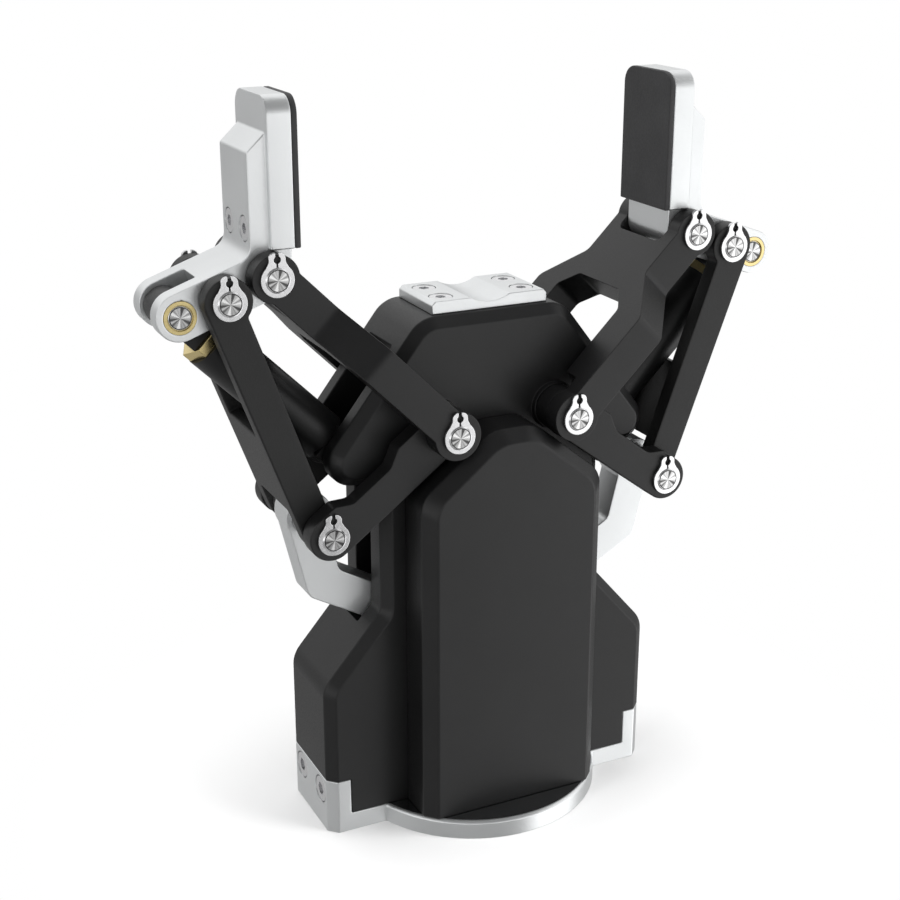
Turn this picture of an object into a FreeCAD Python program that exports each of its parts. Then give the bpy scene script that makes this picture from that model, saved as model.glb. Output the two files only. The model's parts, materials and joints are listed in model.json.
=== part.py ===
import FreeCAD, Part
import math
import os

# Electric two finger gripper, drawn with both fingers open.
# Millimetres. X runs across the fingers, Y from front to back, Z up. The origin is the
# centre of the mounting face. The right finger (X > 0) is drawn, the left one is its mirror.

# Pivots of the right finger in the open pose, (x, z)
shoulder = (15.8, 105.7)
elbow = (45.4, 83.6)
knuckle = (54.8, 144.6)
wrist = (65.8, 140.5)
tail = (75.5, 137.2)
nut_pivot = (14.0, 49.5)

# Pins, clips and running fits
pin_r = 3.0
fit = 0.05
wrap_play = 0.70
drive_play = 1.20
clip_r = 3.9
clip_thick = 0.8
clip_back = 0.1
clip_groove = 2.7
clip_lug_half = 1.95
clip_lug_top = 6.15
clip_hole_r = 0.8
clip_hole_up = 4.6
clip_slit = 0.8
pin_proud = 1.2

# Layers across Y, counted from the middle plane
link_half = 4.3
fork_half = 4.5
tip_half = 9.2
layer_gap = 0.25
outer_wall = 4.5
rocker_wall = 5.0
arm_wall = 5.0

# Base plate
disc_r = 33.0
base_thick = 5.0
bolt_circle = 50.0
bolt_hole_r = 2.5
pilot_r = 15.75
pilot_depth = 2.5
dowel_r = 3.0
ear_height = 9.6
ear_depth = 5.9

# Screws: shank, head, hexagon, counterbore and the gap of a head to its counterbore floor
small_shank_r = 1.5
small_head_r = 2.75
small_hex_r = 1.35
small_seat_r = 2.9
small_seat = 2.1
ear_shank_r = 2.0
ear_head_r = 3.3
ear_hex_r = 1.7
ear_seat_r = 3.5
ear_seat = 3.4
ear_bite = 3.5
seat_gap = 0.2
hex_part = 0.4
cap_bite = 4.9

# Housing
wing_half = 45.7
body_half = 12.95
wing_top = 40.2
wing_round = 7.5
neck_half = 30.0
neck_foot = 58.3
neck_round = 3.0
body_top = 131.0
body_chamfer = 2.4
ear_r = 6.1
head_normal = (0.7915, 0.6112)
head_round = 8.0
slot_half = 6.6
drive_slot_half = 4.75
slot_step = 6.0
head_slot_x = 24.4
boss_r = 5.9

# Covers. The sloping edges run past the shoulder eyes at the cover gap.
cover_half = 24.3
cover_slope = 39.0
cover_gap = 0.95
cover_peak_half = 5.75
cover_round = 7.0
cover_peak_round = 9.0
cover_shoulder = 22.3
cover_face = 25.3
cover_wall = 2.4
cover_screw_low = (18.0, 30.0)
cover_screw_high_x = 10.5
cover_screw_in = 3.3
cover_screw_bite = 2.6
cover_boss_r = 3.6

# Connector on the back cover
socket_z = 22.0
socket_r = 7.0
socket_rim = 1.6
socket_deep = 8.0
socket_out = 5.5
socket_step = 0.6
socket_bore_r = 4.8
socket_floor = 2.0

# Control board
board_half = 17.0
board_low = 24.0
board_drop = 8.8
board_gap = 6.0
board_thick = 1.6
standoff_inset = (3.5, 4.0)
standoff_r = 2.2

# Top cap
cap_half = 15.3
cap_depth = 9.5
cap_thick = 3.1
cap_bevel = 0.9
cap_groove_r = 10.3
cap_groove_depth = 1.4
cap_screw = (10.8, 4.7)

# Drive train
motor_r = 10.0
motor_top = 30.0
coupling_r = 6.5
coupling_top = 35.5
lower_bearing_z = 36.0
channel_floor = 41.0
channel_room = 5.1
channel_half_x = 20.0
channel_half_y = 9.9
screw_r = 3.5
bearing_r = 5.5
top_bearing_z = 123.0
rod_r = 1.5
rod_y = 7.6
nut_half_x = 19.0
nut_half_y = 9.5
nut_half_z = 7.0
nut_core = 8.0
nut_travel = 31.4

# Links
shoulder_eye = 5.9
knuckle_eye = 5.6
inner_half = 4.5
arm_inner_gap = 0.4
rocker_relief = 7.7
elbow_eye = 5.2
rocker_eye = 5.6
drive_eye = 5.9
drive_foot_eye = 4.8
drive_elbow = (42.1, 65.4)
drive_lean = 0.239
drive_upper_half = 4.6
drive_lower_half = 4.5

# Strut
barrel_r = 6.1
barrel_start = 12.2
barrel_end = 50.0
lock_nut_half = 5.2
lock_nut_start = 9.7
rod_end_half = 3.6
rod_end_y = 4.1
strut_eye = 5.0

# Fingertip
pad_face = 47.5
pad_thick = 1.4
plate_thick = 5.7
rib_face = 59.0
rib_top = 171.8
tip_bottom = 150.3
tip_top = 183.6
tip_round = 4.2
tip_width = 10.5
tail_r = 5.5
fork_depth = 7.4

V = FreeCAD.Vector
ORIGIN = V(0, 0, 0)
AXES = {"x": V(1, 0, 0), "y": V(0, 1, 0), "z": V(0, 0, 1)}

anchor = (shoulder[0] + tail[0] - knuckle[0], shoulder[1] + tail[1] - knuckle[1])
y_outer = tip_half + layer_gap
y_outer_end = y_outer + outer_wall
y_rocker = y_outer_end + layer_gap + 0.2
y_rocker_end = y_rocker + rocker_wall
y_arm = y_rocker_end + layer_gap + 0.2
y_arm_end = y_arm + arm_wall
channel_roof = nut_pivot[1] + nut_travel + nut_half_z + channel_room


def place(axis, a, b, c):
    """Point with c along the named axis and (a, b) on the other two, in X, Y, Z order."""
    if axis == "x":
        return V(c, a, b)
    if axis == "y":
        return V(a, c, b)
    return V(a, b, c)


def outline(axis, level, corners):
    """Closed wire through corners (a, b, radius), each corner rounded by its radius."""
    parts = []
    for i, (a, b, radius) in enumerate(corners):
        pa, pb = corners[i - 1][:2]
        qa, qb = corners[(i + 1) % len(corners)][:2]
        lp = math.hypot(pa - a, pb - b)
        lq = math.hypot(qa - a, qb - b)
        u = ((pa - a) / lp, (pb - b) / lp)
        v = ((qa - a) / lq, (qb - b) / lq)
        if radius <= 0:
            parts.append([(a, b)])
            continue
        half = math.acos(max(-1.0, min(1.0, u[0] * v[0] + u[1] * v[1]))) / 2
        run = radius / math.tan(half)
        reach = radius / math.sin(half)
        w = (u[0] + v[0], u[1] + v[1])
        lw = math.hypot(*w)
        mid = (a + w[0] / lw * (reach - radius), b + w[1] / lw * (reach - radius))
        start = (a + u[0] * run, b + u[1] * run)
        end = (a + v[0] * run, b + v[1] * run)
        parts.append([start, mid, end])
    edges = []
    for i, pts in enumerate(parts):
        spots = [place(axis, p[0], p[1], level) for p in pts]
        if len(spots) == 3:
            edges.append(Part.Arc(*spots).toShape())
        following = parts[(i + 1) % len(parts)][0]
        target = place(axis, following[0], following[1], level)
        if (target - spots[-1]).Length > 1e-6:
            edges.append(Part.makeLine(spots[-1], target))
    return Part.Wire(edges)


def prism(axis, corners, low, high):
    """Rounded outline extruded along the axis from low to high."""
    face = Part.Face(outline(axis, low, corners))
    return face.extrude(AXES[axis] * (high - low))


def rod(axis, a, b, radius, low, high):
    """Cylinder along the axis."""
    return Part.makeCylinder(radius, high - low, place(axis, a, b, low), AXES[axis])


def cone(axis, a, b, r_low, r_high, low, high):
    """Cone frustum along the axis."""
    return Part.makeCone(r_low, r_high, high - low, place(axis, a, b, low), AXES[axis])


def box(x0, x1, y0, y1, z0, z1):
    return Part.makeBox(x1 - x0, y1 - y0, z1 - z0, V(x0, y0, z0))


def join(*shapes):
    """One clean solid from touching or overlapping shapes."""
    result = shapes[0]
    if len(shapes) > 1:
        result = result.fuse(list(shapes[1:]))
    return result.removeSplitter()


def cut(shape, *tools):
    return shape.cut(list(tools)).removeSplitter()


def group(shapes):
    return Part.makeCompound(shapes)


def flip(shape, axis):
    return shape.mirror(ORIGIN, AXES[axis])


def ends(shape):
    """The shape and its mirror behind the middle plane."""
    return [shape, flip(shape, "y")]


def frame_of(start, end):
    """Function from (s, d) to (x, z): s along start to end, d to the right of that way."""
    length = math.hypot(end[0] - start[0], end[1] - start[1])
    ux = (end[0] - start[0]) / length
    uz = (end[1] - start[1]) / length

    def at(s, d, radius=0.0):
        return (start[0] + s * ux + d * uz, start[1] + s * uz - d * ux, radius)

    return at, length


def meet(p, u, q, v):
    """Crossing point of two lines, each a point and a direction."""
    det = u[0] * v[1] - u[1] * v[0]
    t = ((q[0] - p[0]) * v[1] - (q[1] - p[1]) * v[0]) / det
    return (p[0] + t * u[0], p[1] + t * u[1])


def groove_starts(low, high):
    """Lower Y of the clip grooves near both ends of a pin."""
    return (low + pin_proud - clip_thick - clip_back, high - pin_proud + clip_back)


def pin(x, z, low, high, grooved):
    """Steel pin along Y with small end chamfers, and clip grooves where it is grooved."""
    bevel = 0.4
    body = join(
        rod("y", x, z, pin_r, low + bevel, high - bevel),
        cone("y", x, z, pin_r - bevel, pin_r, low, low + bevel),
        cone("y", x, z, pin_r, pin_r - bevel, high - bevel, high),
    )
    if not grooved:
        return body
    rings = []
    for start in groove_starts(low, high):
        end = start + clip_thick
        rings.append(cut(
            rod("y", x, z, pin_r + 1, start, end),
            rod("y", x, z, clip_groove, start - 1, end + 1),
        ))
    return cut(body, *rings)


def clip(x, z, low, high):
    """Pair of retaining rings in the grooves of a pin, each open at an eyelet on its top."""
    rings = []
    foot = clip_lug_half + 0.75
    crown = 1.4
    for start in groove_starts(low, high):
        end = start + clip_thick
        lug = prism("y", [
            (x - foot, z + pin_r - 0.2, 0),
            (x + foot, z + pin_r - 0.2, 0),
            (x + clip_lug_half, z + clip_r + 0.2, crown),
            (x + clip_lug_half, z + clip_lug_top, crown),
            (x - clip_lug_half, z + clip_lug_top, crown),
            (x - clip_lug_half, z + clip_r + 0.2, crown),
        ], start, end)
        slit = clip_slit / 2
        rings.append(cut(
            join(rod("y", x, z, clip_r, start, end), lug),
            rod("y", x, z, clip_groove, start - 1, end + 1),
            rod("y", x, z + clip_hole_up, clip_hole_r, start - 1, end + 1),
            box(x - slit, x + slit, start - 1, end + 1, z + clip_hole_up, z + clip_lug_top + 1),
            box(x - slit / 2, x + slit / 2, start - 1, end + 1, z, z + clip_hole_up),
        ))
    return rings


def socket_screw(axis, a, b, top, head_r, head_h, shank_r, length, way, socket_r):
    """Cap screw whose head ends at top; way is +1 where the head points along the axis."""
    low = min(top, top - way * head_h)
    head = rod(axis, a, b, head_r, low, low + head_h)
    tip = top - way * (head_h + length)
    base = top - way * head_h
    shank = rod(axis, a, b, shank_r, min(base, tip), max(base, tip))
    hexagon = []
    for i in range(6):
        turn = math.radians(60 * i)
        hexagon.append((a + socket_r * math.cos(turn), b + socket_r * math.sin(turn), 0))
    deep = top - way * head_h * hex_part
    socket = prism(axis, hexagon, min(top, deep), max(top, deep))
    return cut(join(head, shank), socket)


def mirrored_x(corners):
    """Corners of the right half followed by their mirror, as one closed list."""
    return corners + [(-a, b, r) for a, b, r in reversed(corners)]


# Housing outline
head_line = anchor[0] * head_normal[0] + anchor[1] * head_normal[1] + ear_r
ear_floor = anchor[1] - ear_r


def head_x(z):
    return (head_line - head_normal[1] * z) / head_normal[0]


housing_outline = mirrored_x([
    (wing_half, base_thick, 0),
    (wing_half, wing_top, wing_round),
    (neck_half, neck_foot, neck_round),
    (neck_half, ear_floor, neck_round - 0.5),
    (head_x(ear_floor), ear_floor, ear_r),
    (head_x(body_top), body_top, head_round),
])
housing_solid = prism("y", housing_outline, -body_half, body_half)
rim = []
for edge in housing_solid.Edges:
    bounds = edge.BoundBox
    flat = bounds.YMax - bounds.YMin < 1e-6
    foot = bounds.ZMax < base_thick + 1e-6
    if flat and not foot:
        rim.append(edge)
housing_solid = housing_solid.makeChamfer(body_chamfer, rim)

ear_top = base_thick + ear_height
ear_boxes = []
for side in (-1, 1):
    x0 = min(side * (wing_half - ear_depth), side * (wing_half + 1))
    x1 = max(side * (wing_half - ear_depth), side * (wing_half + 1))
    ear_boxes.append(box(x0, x1, -body_half - 1, body_half + 1, base_thick, ear_top))
ears = [housing_solid.common(b) for b in ear_boxes]
ear_screw_y = body_half / 2
ear_screw_z = base_thick + 0.53 * ear_height

to_elbow, lower_length = frame_of(nut_pivot, drive_elbow)
floor_a = to_elbow(-3.0, drive_foot_eye + 1.2)
floor_b = to_elbow(lower_length, drive_foot_eye + 1.2)
slot_out = floor_b[0] + 20
slot_roof = body_top - 6.0
drive_slot = prism("y", [
    (floor_a[0], floor_a[1], 0),
    (floor_b[0], floor_b[1], 0),
    (slot_out, floor_b[1], 0),
    (slot_out, slot_roof, 0),
    (head_slot_x, slot_roof, 0),
    (head_slot_x, channel_roof + 1.0, 2.0),
    (floor_a[0], channel_roof + 1.0, 0),
], -drive_slot_half, drive_slot_half)
strut_slot = box(
    head_slot_x, slot_out, -slot_half, slot_half, ear_floor - slot_step, slot_roof)
slot = join(drive_slot, strut_slot)

housing_tools = ear_boxes + [
    slot,
    flip(slot, "x"),
    box(-channel_half_x, channel_half_x, -channel_half_y, channel_half_y, channel_floor, channel_roof),
    rod("z", 0, 0, motor_r, base_thick - 1, motor_top),
    rod("z", 0, 0, coupling_r + 1.0, motor_top - 1, lower_bearing_z),
    rod("z", 0, 0, bearing_r, lower_bearing_z - 1, channel_floor + 1),
    rod("z", 0, 0, screw_r + 1.0, channel_floor, top_bearing_z + 1),
    rod("z", 0, 0, bearing_r, top_bearing_z, body_top + 1),
    rod("z", 0, rod_y, rod_r, channel_floor - 3, channel_roof + 6),
    rod("z", 0, -rod_y, rod_r, channel_floor - 3, channel_roof + 6),
]

# Sloping edge of the covers as a line, normal times point = reach
slope_x = math.sin(math.radians(cover_slope))
slope_z = math.cos(math.radians(cover_slope))
slope_reach = slope_x * shoulder[0] + slope_z * shoulder[1] - shoulder_eye - cover_gap


def cover_z(x, inset):
    """Height of the sloping edge of the covers at x, moved in by the inset."""
    return (slope_reach - inset - slope_x * x) / slope_z


def cover_x(z, inset):
    return (slope_reach - inset - slope_z * z) / slope_x


cover_peak = cover_z(cover_peak_half, 0)
cover_screw_high = (cover_screw_high_x, cover_z(cover_screw_high_x, cover_screw_in))
screw_boss_spots = []
for spot in (cover_screw_low, cover_screw_high):
    screw_boss_spots += [(-spot[0], spot[1]), spot]
for x, z in screw_boss_spots:
    housing_tools.append(rod("y", x, z, small_shank_r, body_half - cover_screw_bite, body_half + 1))
for x in (-cap_screw[0], cap_screw[0]):
    for y in (-cap_screw[1], cap_screw[1]):
        housing_tools.append(rod("z", x, y, small_shank_r, body_top - cap_bite - 1, body_top + 1))
ear_hole = ear_seat + ear_depth + ear_bite + 1
for side in (-1, 1):
    for y in (-ear_screw_y, ear_screw_y):
        low = min(side * (wing_half - ear_hole), side * wing_half)
        housing_tools.append(rod("x", y, ear_screw_z, ear_shank_r, low, low + ear_hole))
    housing_tools.append(rod("y", side * anchor[0], anchor[1], pin_r, -body_half + 2, body_half + 1))

bosses = []
for side in (-1, 1):
    ring = rod("y", side * shoulder[0], shoulder[1], boss_r, body_half - 1, y_rocker - 0.1)
    groove = cut(
        rod("y", side * shoulder[0], shoulder[1], boss_r - 0.9, y_rocker - 0.7, y_rocker + 1),
        rod("y", side * shoulder[0], shoulder[1], boss_r - 1.5, y_rocker - 1.7, y_rocker + 1),
    )
    bosses += ends(cut(ring, groove))
housing = join(cut(housing_solid, *housing_tools), *bosses)
housing = cut(
    housing,
    rod("y", shoulder[0], shoulder[1], pin_r, -y_arm_end, y_arm_end),
    rod("y", -shoulder[0], shoulder[1], pin_r, -y_arm_end, y_arm_end),
)

# Base plate
plate_corner = body_chamfer
wing_plate = prism("z", mirrored_x([
    (wing_half - plate_corner, -body_half, 0),
    (wing_half, -body_half + plate_corner, 0),
    (wing_half, body_half - plate_corner, 0),
    (wing_half - plate_corner, body_half, 0),
]), 0, base_thick)
base_tools = [
    rod("z", 0, 0, pilot_r, -1, pilot_depth),
    rod("z", bolt_circle / 2, 0, dowel_r, -1, base_thick - 1),
]
bolt_offset = bolt_circle / 2 * math.sin(math.radians(45))
for x in (-bolt_offset, bolt_offset):
    for y in (-bolt_offset, bolt_offset):
        base_tools.append(rod("z", x, y, bolt_hole_r, -1, base_thick + 1))
for side in (-1, 1):
    for y in (-ear_screw_y, ear_screw_y):
        inner = side * (wing_half - ear_depth - 1)
        outer = side * (wing_half + 1)
        base_tools.append(rod("x", y, ear_screw_z, ear_shank_r, min(inner, outer), max(inner, outer)))
        seat = side * (wing_half - ear_seat)
        base_tools.append(rod("x", y, ear_screw_z, ear_seat_r, min(seat, outer), max(seat, outer)))
disc = cut(
    rod("z", 0, 0, disc_r, 0, base_thick),
    cut(
        rod("z", 0, 0, disc_r + 1, base_thick - 0.6, base_thick + 1),
        cone("z", 0, 0, disc_r, disc_r - 0.6, base_thick - 0.6, base_thick),
    ),
)
base_plate = cut(join(disc, wing_plate, *ears), *base_tools)

ear_screws = []
for side in (-1, 1):
    for y in (-ear_screw_y, ear_screw_y):
        top = side * (wing_half - seat_gap)
        ear_screws.append(socket_screw(
            "x", y, ear_screw_z, top, ear_head_r, ear_seat - seat_gap, ear_shank_r,
            ear_depth + ear_bite, side, ear_hex_r))

# Covers


def cover_ring(level, inset):
    """Cover outline at one depth, its sides, slopes and top moved in by the inset."""
    side = cover_half - inset
    top = cover_peak - inset
    return outline("y", level, mirrored_x([
        (side, base_thick, 0),
        (side, cover_z(side, inset), cover_round),
        (cover_x(top, inset), top, cover_peak_round),
    ]))


def cover_block(inset, depth_end, shoulder_end):
    """Solid of the cover: straight sides, then a bevel down to the flat face."""
    bevel = depth_end - shoulder_end
    foot = cover_ring(-body_half, inset)
    edge = cover_ring(-shoulder_end, inset)
    face = cover_ring(-depth_end, inset + bevel)
    lower = Part.makeLoft([foot, edge], True, True)
    upper = Part.makeLoft([edge, face], True, True)
    return join(lower, upper)


cover_shell = cut(
    cover_block(0, cover_face, cover_shoulder),
    cover_block(cover_wall, cover_face - cover_wall, cover_shoulder - cover_wall / 2),
)
front_cover = cover_shell
back_tools = [rod("y", 0, socket_z, socket_r, cover_face - socket_deep - 1, cover_face + 1)]
back_bosses = []
for x, z in screw_boss_spots:
    back_bosses.append(rod("y", x, z, cover_boss_r, body_half, cover_face - cover_wall))
    back_tools.append(rod("y", x, z, small_shank_r, body_half - 1, cover_face + 1))
    back_tools.append(rod("y", x, z, small_seat_r, cover_face - small_seat, cover_face + 1))
back_cover = cut(join(flip(cover_shell, "y"), *back_bosses), *back_tools)
cover_shank = cover_face - small_seat - body_half + cover_screw_bite - 0.1
back_cover_screws = [
    socket_screw("y", x, z, cover_face - seat_gap, small_head_r, small_seat - seat_gap,
                 small_shank_r, cover_shank, 1, small_hex_r)
    for x, z in screw_boss_spots
]

rim_end = cover_face + socket_rim
socket_end = cover_face + socket_out
rear_socket = cut(
    join(
        rod("y", 0, socket_z, socket_r, cover_face - socket_deep, rim_end),
        rod("y", 0, socket_z, socket_r + socket_rim, cover_face, rim_end),
        rod("y", 0, socket_z, socket_r - socket_step, rim_end, socket_end),
    ),
    rod("y", 0, socket_z, socket_bore_r, cover_face - socket_floor, socket_end + 1),
)

# Electronics behind the front cover
board_front = body_half + board_gap
board_high = cover_z(board_half, cover_wall) - board_drop
board_mid = (board_low + board_high) / 2
chips = [
    # left, right, bottom, top from the middle of the board, height
    (-6, 6, -6, 6, 1.4),
    (-12, -5, 12, 20, 2.0),
    (4, 13, -20, -12, 2.0),
]
board_parts = [box(-board_half, board_half, -board_front, -board_front + board_thick, board_low, board_high)]
for x0, x1, z0, z1, height in chips:
    board_parts.append(box(x0, x1, -board_front - height, -board_front, board_mid + z0, board_mid + z1))
control_board = join(*board_parts)
standoff_x = board_half - standoff_inset[0]
board_standoffs = []
for x in (-standoff_x, standoff_x):
    for z in (board_low + standoff_inset[1], board_high - standoff_inset[1]):
        board_standoffs.append(rod("y", x, z, standoff_r, -board_front + board_thick, -body_half))

# Top cap
cap_z = body_top + cap_thick
cap_profile = mirrored_x([
    (cap_half, body_top, 0),
    (cap_half, cap_z - cap_bevel, 0),
    (cap_half - cap_bevel, cap_z, 0),
])
cap_tools = [rod("y", 0, cap_z - cap_groove_depth + cap_groove_r, cap_groove_r, -cap_depth - 1, cap_depth + 1)]
top_cap_screws = []
for x in (-cap_screw[0], cap_screw[0]):
    for y in (-cap_screw[1], cap_screw[1]):
        cap_tools.append(rod("z", x, y, small_shank_r, body_top - 1, cap_z + 1))
        cap_tools.append(rod("z", x, y, small_seat_r, cap_z - small_seat, cap_z + 1))
        top_cap_screws.append(socket_screw(
            "z", x, y, cap_z - seat_gap, small_head_r, small_seat - seat_gap, small_shank_r,
            cap_thick - small_seat + cap_bite, 1, small_hex_r))
top_cap = cut(prism("y", cap_profile, -cap_depth, cap_depth), *cap_tools)

# Drive train
motor = join(
    rod("z", 0, 0, motor_r, base_thick, motor_top - 1.0),
    rod("z", 0, 0, motor_r - 3.0, motor_top - 1.0, motor_top - 0.2),
)
coupling = cut(
    rod("z", 0, 0, coupling_r, motor_top + 0.2, coupling_top),
    rod("z", 0, 0, screw_r, motor_top + 2.5, coupling_top + 1),
    box(coupling_r - 1.6, coupling_r + 1, -1, 1, motor_top - 1, coupling_top + 1),
)
lead_screw = rod("z", 0, 0, screw_r, motor_top + 2.5, body_top - 1.0)


def bearing(low, high):
    """Bearing drawn as one ring."""
    return cut(rod("z", 0, 0, bearing_r, low, high), rod("z", 0, 0, screw_r + fit, low - 1, high + 1))


lower_bearing = bearing(lower_bearing_z, channel_floor)
top_bearing = bearing(top_bearing_z, body_top)
guide_rods = [
    rod("z", 0, side * rod_y, rod_r, channel_floor - 3, channel_roof + 6) for side in (-1, 1)
]

nut_low = nut_pivot[1] - nut_half_z
nut_high = nut_pivot[1] + nut_half_z
nut_block = prism("z", mirrored_x([
    (nut_half_x, -nut_half_y, 2.0),
    (nut_half_x, nut_half_y, 2.0),
]), nut_low, nut_high)
nut_tools = [
    rod("z", 0, 0, screw_r + fit, nut_low - 1, nut_high + 1),
    rod("z", 0, rod_y, rod_r + fit, nut_low - 1, nut_high + 1),
    rod("z", 0, -rod_y, rod_r + fit, nut_low - 1, nut_high + 1),
]
nut_pins = []
for side in (-1, 1):
    near = min(side * nut_core, side * (nut_half_x + 1))
    far = max(side * nut_core, side * (nut_half_x + 1))
    nut_tools.append(box(near, far, -fork_half, fork_half, nut_low - 1, nut_high + 1))
    nut_tools.append(rod("y", side * nut_pivot[0], nut_pivot[1], pin_r, -nut_half_y - 1, nut_half_y + 1))
    nut_pins.append(pin(side * nut_pivot[0], nut_pivot[1], -nut_half_y, nut_half_y, False))
drive_nut = cut(nut_block, *nut_tools)

# Fixed pins
shoulder_end = y_arm_end + pin_proud
shoulder_pins = []
shoulder_circlips = []
anchor_pins = []
for side in (-1, 1):
    shoulder_pins.append(pin(side * shoulder[0], shoulder[1], -shoulder_end, shoulder_end, True))
    shoulder_circlips += clip(side * shoulder[0], shoulder[1], -shoulder_end, shoulder_end)
    anchor_pins.append(pin(side * anchor[0], anchor[1], -body_half + 2, body_half - 0.3, False))

# Drive link: a bent flat bar from the nut up to the elbow
lean = (drive_lean / math.hypot(1, drive_lean), 1 / math.hypot(1, drive_lean))
lower_way = to_elbow(1, 0)
lower_way = (lower_way[0] - nut_pivot[0], lower_way[1] - nut_pivot[1])


def upper_side(d):
    return (drive_elbow[0] + d * lean[1], drive_elbow[1] - d * lean[0])


inner_bend = meet(to_elbow(0, -drive_lower_half)[:2], lower_way, upper_side(-drive_upper_half), lean)
outer_bend = meet(to_elbow(0, drive_lower_half)[:2], lower_way, upper_side(drive_upper_half), lean)
rise = (elbow[1] - drive_elbow[1]) / lean[1]
upper_in = upper_side(-drive_upper_half)
upper_out = upper_side(drive_upper_half)
drive_outline = [
    to_elbow(0, -drive_lower_half),
    (inner_bend[0], inner_bend[1], 3.0),
    (upper_in[0] + rise * lean[0], upper_in[1] + rise * lean[1], 0),
    (upper_out[0] + rise * lean[0], upper_out[1] + rise * lean[1], 0),
    (outer_bend[0], outer_bend[1], 3.5),
    to_elbow(0, drive_lower_half),
]
drive_link = cut(
    join(
        prism("y", drive_outline, -link_half, link_half),
        rod("y", elbow[0], elbow[1], drive_eye, -link_half, link_half),
        rod("y", nut_pivot[0], nut_pivot[1], drive_foot_eye, -link_half, link_half),
    ),
    rod("y", elbow[0], elbow[1], pin_r + drive_play, -link_half - 1, link_half + 1),
    rod("y", nut_pivot[0], nut_pivot[1], pin_r + fit, -link_half - 1, link_half + 1),
)

# Rocker plates between the shoulder and the elbow
to_rocker, rocker_length = frame_of(shoulder, elbow)
rocker_outline = [
    to_rocker(0, rocker_eye),
    to_rocker(rocker_length, rocker_eye),
    to_rocker(rocker_length, -rocker_eye),
    to_rocker(rocker_length * 0.86, -rocker_eye, 2.0),
    to_rocker(rocker_length * 0.76, -3.0, 3.0),
    to_rocker(rocker_length * 0.44, -3.0, 3.0),
    to_rocker(rocker_length * 0.32, -rocker_eye, 2.0),
    to_rocker(0, -rocker_eye),
]
rocker = cut(
    join(
        prism("y", rocker_outline, y_rocker, y_rocker_end),
        rod("y", shoulder[0], shoulder[1], rocker_eye, y_rocker, y_rocker_end),
        rod("y", elbow[0], elbow[1], rocker_eye, y_rocker, y_rocker_end),
    ),
    rod("y", shoulder[0], shoulder[1], pin_r + fit, y_rocker - 1, y_rocker_end + 1),
    rod("y", elbow[0], elbow[1], pin_r, y_rocker - 1, y_rocker_end + 1),
)
rocker_plates = ends(rocker)
elbow_end = y_rocker_end + pin_proud
elbow_pin = [pin(elbow[0], elbow[1], -elbow_end, elbow_end, True)]
elbow_circlips = clip(elbow[0], elbow[1], -elbow_end, elbow_end)
spacer = cut(
    rod("y", elbow[0], elbow[1], pin_r + 1.4, link_half + 0.2, y_outer - 0.2),
    rod("y", elbow[0], elbow[1], pin_r, link_half - 1, y_outer + 1),
)
elbow_spacers = ends(spacer)

# Inner link: one piece, forked at both ends
to_knuckle, inner_length = frame_of(shoulder, knuckle)
web_start = inner_length * 0.588
web_end = inner_length * 0.871
joggle_start = inner_length * 0.508
joggle_end = inner_length * 0.712
y_arm_inner = y_rocker + arm_inner_gap
inner_side = join(
    prism("y", [
        to_knuckle(0, inner_half),
        to_knuckle(inner_length, inner_half),
        to_knuckle(inner_length, -inner_half),
        to_knuckle(0, -inner_half),
    ], -y_arm_end, y_arm_end),
    rod("y", shoulder[0], shoulder[1], shoulder_eye, -y_arm_end, y_arm_end),
    rod("y", knuckle[0], knuckle[1], knuckle_eye, -y_arm_end, y_arm_end),
)
plan_half = [
    (-shoulder_eye - 1, y_arm, 0),
    (-shoulder_eye - 1, y_arm_end, 0),
    (joggle_start, y_arm_end, 3.0),
    (joggle_end, y_outer_end, 3.0),
    (inner_length + knuckle_eye + 1, y_outer_end, 0),
    (inner_length + knuckle_eye + 1, y_outer, 0),
    (web_end, y_outer, 2.0),
]
plan_lower = [
    (web_start, y_outer, 2.0),
    (web_start - 4.8, y_arm_inner, 2.0),
    (rocker_relief, y_arm_inner, 0.5),
    (rocker_relief, y_arm, 0.8),
]
plan = plan_half + [(s, -y, r) for s, y, r in reversed(plan_half)]
plan += [(s, -y, r) for s, y, r in reversed(plan_lower)] + plan_lower
inner_plan = prism("z", plan, -10, 10)
inner_turn = math.degrees(math.atan2(knuckle[1] - shoulder[1], knuckle[0] - shoulder[0]))
inner_plan.rotate(ORIGIN, AXES["y"], -inner_turn)
inner_plan.translate(V(shoulder[0], 0, shoulder[1]))
tail_relief = prism("y", [
    to_knuckle(web_end + 1.0, -2.0),
    to_knuckle(web_end + 1.0, inner_half + 1.0),
    to_knuckle(web_end - 3.2, inner_half + 1.0),
], -y_outer, y_outer)
inner_link = cut(
    inner_side.common(inner_plan),
    tail_relief,
    rod("y", shoulder[0], shoulder[1], pin_r + fit, -y_arm_end - 1, y_arm_end + 1),
    rod("y", knuckle[0], knuckle[1], pin_r + fit, -y_arm_end - 1, y_arm_end + 1),
)

# Outer link: two plates and a web on the outer side
to_wrist, outer_length = frame_of(elbow, wrist)
outer_plate = join(
    prism("y", [
        to_wrist(0, elbow_eye),
        to_wrist(outer_length, knuckle_eye),
        to_wrist(outer_length, -2.8),
        to_wrist(0, -2.8),
    ], y_outer, y_outer_end),
    rod("y", elbow[0], elbow[1], elbow_eye, y_outer, y_outer_end),
    rod("y", wrist[0], wrist[1], knuckle_eye, y_outer, y_outer_end),
)
outer_web_low = 0.11
outer_web_high = 0.455
outer_web_thick = 2.7


def outer_edge(part):
    """Point on the outer edge of the plates at a part of the way up."""
    return to_wrist(outer_length * part, elbow_eye + (knuckle_eye - elbow_eye) * part)


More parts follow.
